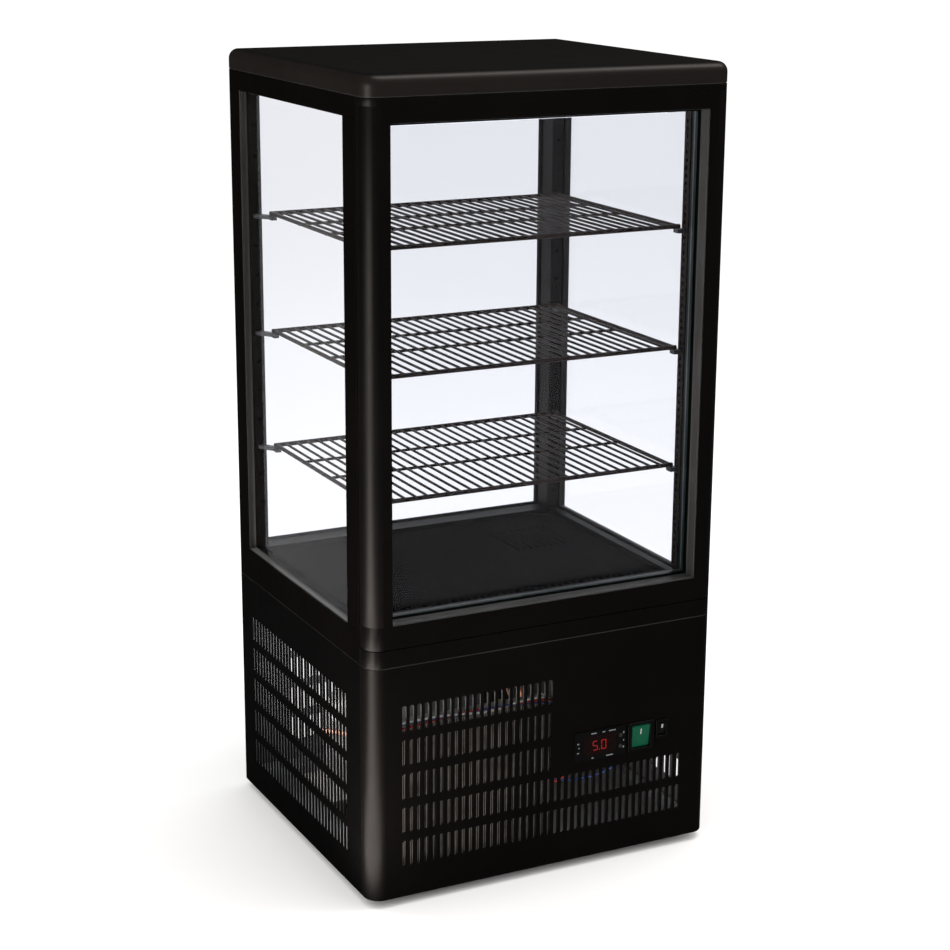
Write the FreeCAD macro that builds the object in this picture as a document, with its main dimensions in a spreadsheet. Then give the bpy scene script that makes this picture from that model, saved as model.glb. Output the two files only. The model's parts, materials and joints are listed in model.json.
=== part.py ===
import FreeCAD, Part
import Sketcher
import math
import os

# Countertop glass door merchandiser: a refrigerated display with glass on four sides.
# Millimetres. X to the right, front towards -Y, Z up, Z = 0 under the feet,
# X = Y = 0 in the middle of the footprint.

os.makedirs("parts", exist_ok=True)
doc = FreeCAD.newDocument("Merchandiser")
V3 = FreeCAD.Vector

# ---------------------------------------------------------------- driving sizes
SIZES = [
    ("width", 430.0, "overall width"),
    ("depth", 386.0, "depth of the body"),
    ("foot_tall", 10.0, "height of the rubber feet"),
    ("seam_low", 278.0, "top of the machine housing"),
    ("sill_top", 297.5, "top of the front sill"),
    ("door_low", 298.5, "underside of the door"),
    ("win_low", 314.3, "bottom of the side glass opening"),
    ("win_high", 853.7, "top of the side glass opening"),
    ("dwin_low", 324.4, "bottom of the door glass opening"),
    ("dwin_high", 849.6, "top of the door glass opening"),
    ("dcap_seam", 866.9, "joint of the door's top cap"),
    ("door_high", 875.0, "top of the door"),
    ("seam_high", 876.3, "underside of the top cover"),
    ("total_tall", 898.0, "overall height"),
    ("corner_r", 18.0, "front vertical corners"),
    ("rear_r", 11.2, "rear vertical corners"),
    ("cover_r", 11.0, "top edge of the cover"),
    ("door_back", 170.5, "back plane of the door, distance in front of centre"),
    ("cab_front", 168.0, "front plane of the cabinet behind the door"),
    ("door_win", 187.0, "half width of the door glass opening"),
    ("post_in", 192.0, "inner face of the front posts"),
    ("post_front_back", 137.0, "rear edge of the front posts"),
    ("post_rear_front", 156.0, "front edge of the rear posts"),
    ("post_rear_in", 188.0, "inner face of the rear posts"),
    ("glass_lip", 8.6, "setback of the side glass"),
    ("pane", 4.0, "thickness of the side and rear glass"),
    ("dpane", 3.5, "thickness of each door pane"),
    ("glass_bite", 5.0, "how far glass runs into the frame"),
    ("sheet", 1.2, "sheet metal thickness"),
    ("skin", 2.5, "moulded wall thickness"),
    ("slot_wide", 4.9, "width of a vent slot"),
    ("slot_tall", 30.0, "length of a vent slot"),
    ("slot_px", 8.9, "vent slot pitch across"),
    ("slot_pz", 39.2, "vent slot pitch up"),
    ("slot_z0", 60.7, "centre height of the lowest slots"),
    ("slot_x0", -174.0, "first front slot"),
    ("slot_y0", -128.0, "first side slot"),
    ("slot_py", 9.17, "side slot pitch"),
    ("shelf_z0", 444.3, "height of the lowest shelf's front rail"),
    ("shelf_dz", 136.0, "shelf spacing"),
    ("hole_dz", 34.0, "spacing of the shelf support holes"),
    ("shelf_half", 184.0, "half width of a shelf"),
    ("shelf_front", 138.0, "shelf front rail, in front of centre"),
    ("shelf_rear", 134.0, "shelf rear rail, behind centre"),
    ("rail_r", 2.5, "radius of shelf rails"),
    ("wire_r", 1.45, "radius of shelf wires"),
    ("wire_px", 13.3, "shelf wire pitch"),
    ("pin_r", 2.0, "hinge pin radius"),
    ("pin_x", 207.5, "hinge pin across"),
    ("pin_y", 184.0, "hinge pin in front of centre"),
    ("run_gap", 0.06, "radial gap of running fits"),
    ("ctl_z", 145.1, "height of the control row"),
    ("ctl_x", 68.5, "controller middle"),
    ("ctl_wide", 66.0, "controller bezel width"),
    ("ctl_tall", 35.0, "controller bezel height"),
    ("rk_x", 122.0, "main rocker middle"),
    ("rk_wide", 34.0, "main rocker bezel width"),
    ("rk_tall", 35.0, "main rocker bezel height"),
    ("lt_x", 150.0, "light rocker middle"),
    ("lt_z", 149.4, "light rocker height"),
    ("lt_wide", 16.0, "light rocker bezel width"),
    ("lt_tall", 22.0, "light rocker bezel height"),
    ("bezel", 2.0, "how far the bezels stand proud"),
    ("fan_r", 56.0, "condenser fan opening radius"),
    ("fan_x", -85.0, "condenser fan across"),
    ("fan_z", 112.0, "condenser fan height"),
    ("comp_x", -88.0, "compressor across"),
    ("comp_y", 70.0, "compressor behind centre"),
    ("comp_r", 62.0, "compressor radius"),
    ("tub_low", 212.0, "underside of the evaporator tub"),
    ("deck_top", 308.2, "deck of the display"),
    ("ef_x", 118.0, "evaporator fan across"),
    ("ef_y", 70.0, "evaporator fan behind centre"),
]
sheet_obj = doc.addObject("Spreadsheet::Sheet", "Dims")
for i, (alias, value, note) in enumerate(SIZES):
    row = str(i + 1)
    sheet_obj.set("A" + row, note)
    sheet_obj.set("B" + row, str(value))
    sheet_obj.setAlias("B" + row, alias)
doc.recompute()


class E(object):
    """A size that carries its number and the sheet expression it comes from."""

    def __init__(self, num, txt=None):
        self.n = float(num)
        self.t = txt if txt is not None else ("%.6f" % num).rstrip("0").rstrip(".")
        if self.t in ("-0", ""):
            self.t = "0"

    def _o(self, other):
        return other if isinstance(other, E) else E(other)

    def __add__(self, o):
        o = self._o(o)
        return E(self.n + o.n, "(%s + %s)" % (self.t, o.t))

    __radd__ = __add__

    def __sub__(self, o):
        o = self._o(o)
        return E(self.n - o.n, "(%s - %s)" % (self.t, o.t))

    def __rsub__(self, o):
        return self._o(o) - self

    def __mul__(self, o):
        o = self._o(o)
        return E(self.n * o.n, "(%s * %s)" % (self.t, o.t))

    __rmul__ = __mul__

    def __truediv__(self, o):
        o = self._o(o)
        return E(self.n / o.n, "(%s / %s)" % (self.t, o.t))

    def __neg__(self):
        return E(-self.n, "(0 - %s)" % self.t)


def e(v):
    return v if isinstance(v, E) else E(v)


D = {}
for alias, value, note in SIZES:
    D[alias] = E(value, "Dims." + alias)

NODES = []
COUNT = [0]


def uid(tag):
    COUNT[0] += 1
    return "%s_%03d" % (tag, COUNT[0])


def node(obj, label):
    obj.Label = label
    NODES.append((label, obj))
    return obj


# ---------------------------------------------------------------- primitives
def bind(obj, prop, val):
    val = e(val)
    obj.setExpression(prop, val.t)


def box(x0, x1, y0, y1, z0, z1, tag="box"):
    o = doc.addObject("Part::Box", uid(tag))
    bind(o, "Length", e(x1) - e(x0))
    bind(o, "Width", e(y1) - e(y0))
    bind(o, "Height", e(z1) - e(z0))
    bind(o, "Placement.Base.x", x0)
    bind(o, "Placement.Base.y", y0)
    bind(o, "Placement.Base.z", z0)
    return o


def cyl(axis, x, y, z, r, length, tag="cyl"):
    """Cylinder from (x, y, z) running along +axis."""
    o = doc.addObject("Part::Cylinder", uid(tag))
    bind(o, "Radius", r)
    bind(o, "Height", length)
    if axis == "X":
        o.Placement = FreeCAD.Placement(V3(0, 0, 0), FreeCAD.Rotation(V3(0, 1, 0), 90))
    elif axis == "Y":
        o.Placement = FreeCAD.Placement(V3(0, 0, 0), FreeCAD.Rotation(V3(1, 0, 0), -90))
    bind(o, "Placement.Base.x", x)
    bind(o, "Placement.Base.y", y)
    bind(o, "Placement.Base.z", z)
    return o


def cut(base, *tools):
    o = doc.addObject("Part::Cut", uid("cut"))
    o.Base = base
    if len(tools) == 1:
        o.Tool = tools[0]
    else:
        c = doc.addObject("Part::Compound", uid("tools"))
        c.Links = list(tools)
        o.Tool = c
    return o


def fuse(*parts):
    o = doc.addObject("Part::MultiFuse", uid("fuse"))
    o.Shapes = list(parts)
    o.Refine = True
    return o


def gather(*parts):
    o = doc.addObject("Part::Compound", uid("group"))
    o.Links = list(parts)
    return o


def common(a, b):
    o = doc.addObject("Part::Common", uid("common"))
    o.Base = a
    o.Tool = b
    return o


# ---------------------------------------------------------------- sketched bodies
def origin_plane(body, role):
    for f in body.Origin.OriginFeatures:
        if f.Role == role:
            return f
    raise ValueError(role)


def sketch(body, plane, offset):
    s = body.newObject("Sketcher::SketchObject", uid("sk"))
    s.AttachmentSupport = [(origin_plane(body, plane + "_Plane"), "")]
    s.MapMode = "FlatFace"
    bind(s, "AttachmentOffset.Base.z", offset)
    return s


def name_and_bind(s, idx, val):
    s.setExpression("Constraints[%d]" % idx, e(val).t)


def loop(s, pts):
    """Closed outline. pts: (x, y) or (x, y, cx, cy, turn): turn +1 is an arc that
    runs counter-clockwise to the next point about (cx, cy), -1 clockwise."""
    n = len(pts)
    geo = []
    for i in range(n):
        p = pts[i]
        q = pts[(i + 1) % n]
        x1, y1, x2, y2 = e(p[0]).n, e(p[1]).n, e(q[0]).n, e(q[1]).n
        if len(p) == 2:
            g = s.addGeometry(Part.LineSegment(V3(x1, y1, 0), V3(x2, y2, 0)), False)
            geo.append((g, 1, 2))
        else:
            cx, cy = e(p[2]).n, e(p[3]).n
            r = math.hypot(x1 - cx, y1 - cy)
            a1 = math.atan2(y1 - cy, x1 - cx)
            a2 = math.atan2(y2 - cy, x2 - cx)
            if p[4] < 0:
                a1, a2 = a2, a1
            while a2 <= a1:
                a2 += 2 * math.pi
            g = s.addGeometry(Part.ArcOfCircle(Part.Circle(V3(cx, cy, 0), V3(0, 0, 1), r), a1, a2), False)
            geo.append((g, 1, 2) if p[4] > 0 else (g, 2, 1))
    for i in range(n):
        g, a, b = geo[i]
        h, c, d = geo[(i + 1) % n]
        s.addConstraint(Sketcher.Constraint("Coincident", g, b, h, c))
    for i in range(n):
        g, a, b = geo[i]
        x, y = e(pts[i][0]), e(pts[i][1])
        k = s.addConstraint(Sketcher.Constraint("DistanceX", -1, 1, g, a, x.n))
        name_and_bind(s, k, x)
        k = s.addConstraint(Sketcher.Constraint("DistanceY", -1, 1, g, a, y.n))
        name_and_bind(s, k, y)
        if len(pts[i]) == 5:
            nx, ny = e(pts[(i + 1) % n][0]), e(pts[(i + 1) % n][1])
            if abs(nx.n - x.n) > abs(ny.n - y.n) + 0.001:
                cc, kind = e(pts[i][3]), "DistanceY"
            else:
                cc, kind = e(pts[i][2]), "DistanceX"
            k = s.addConstraint(Sketcher.Constraint(kind, -1, 1, g, 3, cc.n))
            name_and_bind(s, k, cc)


def circle(s, x, y, r):
    x, y, r = e(x), e(y), e(r)
    g = s.addGeometry(Part.Circle(V3(x.n, y.n, 0), V3(0, 0, 1), r.n), False)
    k = s.addConstraint(Sketcher.Constraint("DistanceX", -1, 1, g, 3, x.n))
    name_and_bind(s, k, x)
    k = s.addConstraint(Sketcher.Constraint("DistanceY", -1, 1, g, 3, y.n))
    name_and_bind(s, k, y)
    k = s.addConstraint(Sketcher.Constraint("Radius", g, r.n))
    name_and_bind(s, k, r)


def rect(x0, x1, y0, y1):
    return [(x0, y0), (x1, y0), (x1, y1), (x0, y1)]


def new_body(tag="body"):
    return doc.addObject("PartDesign::Body", uid(tag))


def pad(body, s, length):
    p = body.newObject("PartDesign::Pad", uid("pad"))
    p.Profile = s
    bind(p, "Length", length)
    body.Tip = p
    return p


def pocket(body, s, length, reverse=False):
    p = body.newObject("PartDesign::Pocket", uid("pocket"))
    p.Profile = s
    bind(p, "Length", length)
    p.Reversed = reverse
    body.Tip = p
    return p


def grid(body, feat, s, nh, ph, nv, pv):
    m = body.newObject("PartDesign::MultiTransform", uid("grid"))
    m.Originals = [feat]
    ts = []
    for cnt, pitch, ax in ((nh, ph, "H_Axis"), (nv, pv, "V_Axis")):
        if cnt < 2:
            continue
        lp = body.newObject("PartDesign::LinearPattern", uid("row"))
        lp.Direction = (s, [ax])
        bind(lp, "Length", e(pitch) * (cnt - 1))
        lp.Occurrences = cnt
        ts.append(lp)
    m.Transformations = ts
    body.Tip = m
    return m


def prism(loops, z0, z1, plane="XY"):
    b = new_body()
    s = sketch(b, plane, z0)
    for lp in loops:
        loop(s, lp)
    pad(b, s, e(z1) - e(z0))
    return b


HW = D["width"] / 2
HD = D["depth"] / 2
CR = D["corner_r"]
RR = D["rear_r"]


def outline(inset):
    """Plan outline of the whole body, moved in by inset."""
    x, y = HW - inset, HD - inset
    cr, rr = CR - inset, RR - inset
    return [
        (x, -y + cr), (x, y - rr, x - rr, y - rr, 1), (x - rr, y), (-x + rr, y, -x + rr, y - rr, 1),
        (-x, y - rr), (-x, -y + cr, -x + cr, -y + cr, 1), (-x + cr, -y), (x - cr, -y, x - cr, -y + cr, 1),
    ]


def front_outline(inset, back):
    """Plan outline of a front slab from the front face to y = -back."""
    x, y = HW - inset, HD - inset
    cr = CR - inset
    return [
        (x, -e(back)), (-x, -e(back)), (-x, -y + cr, -x + cr, -y + cr, 1), (-x + cr, -y),
        (x - cr, -y, x - cr, -y + cr, 1), (x, -y + cr),
    ]


def slot_loop(cx, cy, w, tall):
    w, tall = e(w), e(tall)
    r = w / 2
    up, dn = e(cy) + tall / 2 - r, e(cy) - tall / 2 + r
    x0, x1 = e(cx) - r, e(cx) + r
    return [(x1, dn), (x1, up, cx, up, 1), (x0, up), (x0, dn, cx, dn, 1)]


# ================================================================ machine housing
bz = D["foot_tall"]
house_top = D["seam_low"] - 0.8

# base pan with turned-up edge
pan = prism([outline(3.2)], bz, bz + 12)
s = sketch(pan, "XY", bz + 1.5)
loop(s, outline(4.7))
pocket(pan, s, 20, True)
node(pan, "base_pan")

# feet: four rubber buttons
feet = []
for sx in (-1, 1):
    for sy in (-1, 1):
        b = new_body()
        s = sketch(b, "XY", 0)
        circle(s, sx * 176.0, sy * 154.0, 15)
        pad(b, s, bz)
        feet.append(b)
node(gather(*feet), "feet")

# front panel: a moulded skin that wraps both front corners
b = new_body()
s = sketch(b, "XY", bz)
x, y, r1 = HW, HD, CR
xi, yi, r2 = HW - D["skin"], HD - D["skin"], CR - D["skin"]
bk = D["cab_front"]
loop(s, [
    (-x, -bk), (-x, -y + r1, -x + r1, -y + r1, 1), (-x + r1, -y), (x - r1, -y, x - r1, -y + r1, 1),
    (x, -y + r1), (x, -bk), (xi, -bk), (xi, -yi + r2, xi - r2, -yi + r2, -1), (xi - r2, -yi),
    (-xi + r2, -yi, -xi + r2, -yi + r2, -1), (-xi, -yi + r2), (-xi, -bk),
])
pad(b, s, house_top - bz)
sw, st = D["slot_wide"], D["slot_tall"]
s = sketch(b, "XZ", HD + 5)
loop(s, slot_loop(D["slot_x0"], D["slot_z0"] + D["slot_pz"] * 2, sw, st))
p = pocket(b, s, 9)
grid(b, p, s, 21, D["slot_px"], 3, D["slot_pz"])
s = sketch(b, "XZ", HD + 5)
loop(s, slot_loop(D["slot_x0"], D["slot_z0"], sw, st))
p = pocket(b, s, 9)
grid(b, p, s, 40, D["slot_px"], 2, D["slot_pz"])
s = sketch(b, "XZ", HD + 5)
cz = D["ctl_z"]
loop(s, rect(D["ctl_x"] - 29.2, D["ctl_x"] + 29.2, cz - 14.2, cz + 14.2))
loop(s, rect(D["rk_x"] - 14.2, D["rk_x"] + 14.2, cz - 15.7, cz + 15.7))
loop(s, rect(D["lt_x"] - 6.4, D["lt_x"] + 6.4, D["lt_z"] - 9.8, D["lt_z"] + 9.8))
pocket(b, s, 9)
node(b, "lower_front_panel")

# side panels with their rear return
for sx, name in ((-1, "left"), (1, "right")):
    b = new_body()
    s = sketch(b, "XY", bz)
    o, i = HW, HW - D["sheet"]
    yo, yi = HD, HD - D["sheet"]
    ri = RR - D["sheet"]
    f = -bk + 0.6
    t = 1 if sx > 0 else -1
    loop(s, [
        (o * sx, f), (o * sx, yo - RR, (o - RR) * sx, yo - RR, t), ((o - RR) * sx, yo), ((o - 20) * sx, yo),
        ((o - 20) * sx, yi), ((o - RR) * sx, yi, (o - RR) * sx, yo - RR, -t), (i * sx, yo - RR), (i * sx, f),
    ])
    pad(b, s, house_top - bz)
    s = sketch(b, "YZ", (HW + 5) * sx)
    loop(s, slot_loop(D["slot_y0"], D["slot_z0"], sw, st))
    p = pocket(b, s, 9, sx < 0)
    grid(b, p, s, 31, D["slot_py"], 5, D["slot_pz"])
    node(b, "lower_side_panel_" + name)

# rear panel with vents and the inlet cut-out
b = new_body()
s = sketch(b, "XY", bz)
loop(s, rect(-HW + 20.4, HW - 20.4, HD - D["sheet"], HD))
pad(b, s, house_top - bz)
s = sketch(b, "XZ", -(HD + 5))
loop(s, slot_loop(-150, D["slot_z0"], sw, st))
p = pocket(b, s, 9, True)
grid(b, p, s, 22, 9.0, 4, D["slot_pz"])
s = sketch(b, "XZ", -(HD + 5))
loop(s, rect(118, 146, 48, 72))
pocket(b, s, 9, True)
node(b, "lower_rear_panel")

# cord inlet: flange and gland on the rear panel, bored right through
b = new_body()
s = sketch(b, "XZ", -(HD))
loop(s, rect(112, 152, 43, 77))
pad(b, s, 0.9).Reversed = True
s = sketch(b, "XZ", -(HD))
loop(s, rect(118.3, 145.7, 48.3, 71.7))
pad(b, s, 26)
s = sketch(b, "XZ", -(HD + 0.9))
circle(s, 132, 60, 9.5)
pad(b, s, D["bezel"] - 0.9).Reversed = True
s = sketch(b, "XZ", -(HD + 5))
circle(s, 132, 60, 5)
pocket(b, s, 40, True)
node(b, "cord_inlet")

# thin light trims in the two seams
def ring(z0, z1, outer, inner):
    return prism([outline(outer), outline(inner)], z0, z1)

low_trim = ring(house_top, D["seam_low"] + 0.4, 0.8, 4.5)
high_trim = ring(D["seam_high"] - 0.8, D["seam_high"], 0.8, 4.5)
pin_x, pin_y, pin_r = D["pin_x"], -D["pin_y"], D["pin_r"]
high_cut = cut(high_trim, cyl("Z", pin_x, pin_y, 870, pin_r, 10))
node(gather(low_trim, high_cut), "seam_trims")

# ================================================================ display frame
z1 = D["seam_low"] + 0.4
wl, wh = D["win_low"], D["win_high"]
pfb, prf = D["post_front_back"], D["post_rear_front"]
gx1 = HW - D["glass_lip"]
gx0 = gx1 - D["pane"]
gy1 = HD - D["glass_lip"]
gy0 = gy1 - D["pane"]
bite = D["glass_bite"]
side_y0, side_y1 = -pfb - 4, prf + 4
rear_x = D["post_rear_in"] + 4


def glass_tools():
    return [
        box(gx0, gx1, side_y0, side_y1, wl - bite, wh + bite, "side_tool"),
        box(-gx1, -gx0, side_y0, side_y1, wl - bite, wh + bite, "side_tool"),
        box(-rear_x, rear_x, gy0, gy1, wl - bite, wh + bite, "rear_tool"),
    ]


GR, GL, GB = glass_tools()

top_z = D["seam_high"] - 0.8
for sx, name, g in ((-1, "left", GL), (1, "right", GR)):
    a, c = (D["post_in"], HW) if sx > 0 else (-HW, -D["post_in"])
    node(cut(prism([rect(a, c, -bk, prf)], z1, wl), g), "bottom_rail_" + name)
    node(cut(prism([rect(a, c, -bk, prf)], wh, top_z), g), "top_rail_" + name)


def rear_plan():
    return [
        (-HW, prf), (HW, prf), (HW, HD - RR, HW - RR, HD - RR, 1), (HW - RR, HD),
        (-HW + RR, HD, -HW + RR, HD - RR, 1), (-HW, HD - RR),
    ]


node(cut(prism([rear_plan()], z1, wl), GL, GR, GB), "bottom_rail_rear")
node(cut(prism([rear_plan()], wh, top_z), GL, GR, GB), "top_rail_rear")

pi = D["post_in"]
node(cut(prism([front_outline(0, bk)], z1, D["sill_top"]),
         cyl("Z", pin_x, pin_y, D["sill_top"] - 12, pin_r, 20)), "front_sill")
node(prism([rect(-pi, pi, -bk, -pfb)], z1, D["dwin_low"] - 4.9), "threshold")
node(prism([rect(-pi, pi, -bk, -pfb)], wh + 1.3, top_z), "top_header")

# corner posts; the rear ones have a column of shelf holes facing forward
hole_z = D["shelf_z0"] - 5.5
for sx, name, g in ((-1, "left", GL), (1, "right", GR)):
    a, c = (D["post_in"], HW) if sx > 0 else (-HW, -D["post_in"])
    node(cut(prism([rect(a, c, -bk, -pfb)], wl, wh), g), "post_front_" + name)
    b = new_body()
    s = sketch(b, "XY", wl)
    ri_ = D["post_rear_in"]
    t = 1 if sx > 0 else -1
    loop(s, [
        (ri_ * sx, prf), (HW * sx, prf), (HW * sx, HD - RR, (HW - RR) * sx, HD - RR, t),
        ((HW - RR) * sx, HD), (ri_ * sx, HD),
    ])
    pad(b, s, wh - wl)
    s = sketch(b, "XZ", -(prf - 1))
    circle(s, 196.0 * sx, hole_z - D["hole_dz"] * 3, 2.4)
    p = pocket(b, s, 9)
    grid(b, p, s, 1, 1, 15, D["hole_dz"])
    node(cut(b, g, GB), "post_rear_" + name)

# slotted shelf standards on the inner faces of the front posts
stds = []
for sx in (-1, 1):
    b = new_body()
    s = sketch(b, "XY", D["dwin_low"] - 2)
    a, c = (pi - 1.6, pi) if sx > 0 else (-pi, -pi + 1.6)
    loop(s, rect(a, c, -149, -pfb))
    pad(b, s, 524)
    s = sketch(b, "YZ", (pi + 2) * sx)
    loop(s, rect(-145.4, -140.6, D["dwin_low"] + 3.4, D["dwin_low"] + 8.0))
    p = pocket(b, s, 9, sx < 0)
    grid(b, p, s, 1, 1, 60, D["hole_dz"] / 4)
    stds.append(b)
node(gather(*stds), "shelf_standards")

# glass
node(box(gx0, gx1, side_y0, side_y1, wl - bite, wh + bite), "glass_side_right")
node(box(-gx1, -gx0, side_y0, side_y1, wl - bite, wh + bite), "glass_side_left")
node(box(-rear_x, rear_x, gy0, gy1, wl - bite, wh + bite), "glass_rear")

# ================================================================ ceiling, lamp, cover
cz0 = wh + 0.3
node(box(-pi, pi, -pfb, prf, cz0, cz0 + 4), "ceiling_panel")
b = prism([rect(-172, 172, -pfb + 1, -pfb + 21)], cz0 - 12, cz0)
s = sketch(b, "XY", cz0 - 13)
loop(s, rect(-170, 170, -pfb + 3, -pfb + 19))
pocket(b, s, 11, True)
node(b, "lamp_housing")
node(box(-169.8, 169.8, -pfb + 3.2, -pfb + 18.8, cz0 - 13.5, cz0 - 7), "lamp_diffuser")

cov = new_body()
s = sketch(cov, "XY", D["seam_high"])
loop(s, outline(0))
cp = pad(cov, s, D["total_tall"] - D["seam_high"])
doc.recompute()
top_edges = []
for k, ed in enumerate(cp.Shape.Edges):
    if min(v.Z for v in ed.Vertexes) > D["total_tall"].n - 0.01:
        top_edges.append("Edge%d" % (k + 1))
fl = cov.newObject("PartDesign::Fillet", uid("round"))
fl.Base = (cp, top_edges)
fl.Radius = 4.5
bind(fl, "Radius", D["cover_r"])
cov.Tip = fl
s = sketch(cov, "XY", D["seam_high"] - 1)
ins = 3.2
loop(s, outline(ins))
pocket(cov, s, 9, True)
s = sketch(cov, "XY", D["seam_high"] - 1)
loop(s, rect(-HW + 15, HW - 15, -HD + 15, HD - 15))
pocket(cov, s, D["total_tall"] - D["seam_high"] - 2, True)
node(cov, "top_cover")

# ================================================================ door
db = D["door_back"]
dw = D["door_win"]
dl, dh = D["dwin_low"], D["dwin_high"]
op0 = HD - 15.0            # front of the outer pane, in front of centre
dp = D["dpane"]
collar = 3.0
inner_back = 160.5
pane_tool = lambda: box(-dw - 3.5, dw + 3.5, -op0, -op0 + dp, dl - 3.5, dh + 3.5, "pane_tool")
fr = prism([front_outline(0, db)], dl, D["dcap_seam"])
col = box(-dw - collar, dw + collar, -db, -inner_back, dl, dh + collar)
bore_top = cyl("Z", pin_x, pin_y, D["dcap_seam"] - 4, pin_r + D["run_gap"], 40)
frame_cut = cut(fuse(fr, col), box(-dw, dw, -HD - 1, -inner_back + 1, dl - 1, dh), pane_tool(), bore_top)
node(frame_cut, "door_frame")
cb = prism([front_outline(0, db)], D["door_low"], dl)
cbc = box(-dw - collar, dw + collar, -db, -inner_back, dl - collar, dl)
node(cut(fuse(cb, cbc), pane_tool(),
         cyl("Z", pin_x, pin_y, D["door_low"] - 1, pin_r + D["run_gap"], 14)), "door_cap_bottom")
node(cut(prism([front_outline(0, db)], D["dcap_seam"], D["door_high"]),
         cyl("Z", pin_x, pin_y, D["dcap_seam"] - 4, pin_r + D["run_gap"], 40)), "door_cap_top")
outer = box(-dw - 3.5, dw + 3.5, -op0, -op0 + dp, dl - 3.5, dh + 3.5)
inner = box(-dw, dw, -inner_back - dp, -inner_back, dl, dh)
node(gather(outer, inner), "door_panes")
b = new_body()
s = sketch(b, "XZ", op0 - dp)
loop(s, rect(-dw, dw, dl, dh))
loop(s, rect(-dw + 4, dw - 4, dl + 4, dh - 4))
pad(b, s, op0 - dp - inner_back - dp).Reversed = True
node(b, "door_spacer")
b = new_body()
s = sketch(b, "XZ", db)
loop(s, rect(-205, 205, dl - 18, dh + 18))
loop(s, rect(-193, 193, dl - 6, dh + 6))
pad(b, s, 1.8).Reversed = True
node(b, "door_gasket")

# hinge: two pins on fixed plates, on one upright axis
plate = box(192, 211.5, -188, -150, D["seam_high"], D["seam_high"] + 2.5)
pin = cyl("Z", pin_x, pin_y, D["dcap_seam"] - 3.4, pin_r, D["seam_high"] - D["dcap_seam"] + 3.4 + 2.5)
top_pin = common(fuse(plate, pin), prism([outline(3.3)], 860, 890))
low_pin = cyl("Z", pin_x, pin_y, D["sill_top"] - 12, pin_r, 23.0)
node(gather(top_pin, low_pin), "hinge_pins")

# ================================================================ shelves and clips
sh, sf, sr = D["shelf_half"], D["shelf_front"], D["shelf_rear"]
rr_, wr = D["rail_r"], D["wire_r"]


def make_shelf(z, name):
    side_r = rr_ - 0.2
    b = new_body()
    s = sketch(b, "YZ", -sh - side_r - 0.4)
    circle(s, -sf, z, rr_)
    circle(s, sr, z, rr_)
    pad(b, s, (sh + side_r + 0.4) * 2)
    s = sketch(b, "XZ", sf)
    circle(s, -sh, z, side_r)
    circle(s, sh, z, side_r)
    pad(b, s, sf + sr).Reversed = True
    s = sketch(b, "YZ", -sh)
    circle(s, -20, z - 1.5, wr + 0.15)
    circle(s, 55, z - 1.5, wr + 0.15)
    pad(b, s, sh * 2)
    s = sketch(b, "XZ", sf)
    circle(s, -D["wire_px"] * 13, z + 0.65, wr)
    p = pad(b, s, sf + sr)
    p.Reversed = True
    grid(b, p, s, 27, D["wire_px"], 1, 1)
    node(b, name)


levels = [D["shelf_z0"], D["shelf_z0"] + D["shelf_dz"], D["shelf_z0"] + D["shelf_dz"] * 2]
for z, name in zip(levels, ("shelf_lower", "shelf_middle", "shelf_upper")):
    make_shelf(z, name)

clips = []
for z in levels:
    zb, zt = z - rr_ - 4.5, z - rr_
    for sx in (-1, 1):
        # rear: plugged into the post's hole, arm under the shelf corner
        arm = prism([[(199 * sx, prf), (193 * sx, prf), (181.5 * sx, sr + 4), (181.5 * sx, sr - 8),
                      (187.5 * sx, sr - 8), (187.5 * sx, sr + 2), (199 * sx, prf - 5)]], zb, zt)
        clips.append(fuse(arm, cyl("Y", 196.0 * sx, prf - 1, z - 5.5, 2.3, 8)))
        # front: tab hooked on the standard
        x0, x1 = (pi - 10.5, pi - 1.6) if sx > 0 else (-pi + 1.6, -pi + 10.5)
        clips.append(prism([rect(x0, x1, -sf - 6, -sf + 4)], zb, zt))
node(gather(*clips), "shelf_clips")

# ================================================================ deck and evaporator
dt = D["deck_top"]
b = prism([rect(-pi, pi, -pfb, prf)], dt - 7, dt)
s = sketch(b, "XY", dt - 9)
loop(s, slot_loop(-171, -112, 4.5, 26))
p = pocket(b, s, 12, True)
grid(b, p, s, 39, 9.0, 1, 1)
s = sketch(b, "XY", dt - 9)
loop(s, slot_loop(D["ef_x"] - 36, D["ef_y"], 4.5, 78))
p = pocket(b, s, 12, True)
grid(b, p, s, 9, 9.0, 1, 1)
node(b, "deck_panel")

tub = prism([rect(-pi + 2, pi - 2, -pfb + 2, prf - 2)], D["tub_low"], dt - 7)
s = sketch(tub, "XY", D["tub_low"] + 9)
loop(s, rect(-pi + 11, pi - 11, -pfb + 11, prf - 11))
pocket(tub, s, 100, True)
node(tub, "evaporator_tub")

ez = D["tub_low"] + 14
core = box(-150, 40, -92, 118, ez, ez + 42)
bends = []
for i in range(5):
    yb = -72.0 + i * 42
    bends.append(cyl("X", 38, yb, ez + 12, 4.5, 14))
    bends.append(cyl("X", 38, yb, ez + 31, 4.5, 14))
node(fuse(core, *bends), "evaporator_coil")

fx, fy = D["ef_x"], D["ef_y"]
efz = dt - 7 - 27
b = prism([rect(fx - 43, fx + 43, fy - 43, fy + 43)], efz, efz + 25)
s = sketch(b, "XY", efz - 1)
circle(s, fx, fy, 40)
pocket(b, s, 40, True)
hub = cyl("Z", fx, fy, efz, 15, 4)
arms = [box(fx - 42, fx + 42, fy - 2, fy + 2, efz, efz + 3), box(fx - 2, fx + 2, fy - 42, fy + 42, efz, efz + 3)]
node(fuse(b, hub, *arms), "evaporator_fan_frame")


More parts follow.
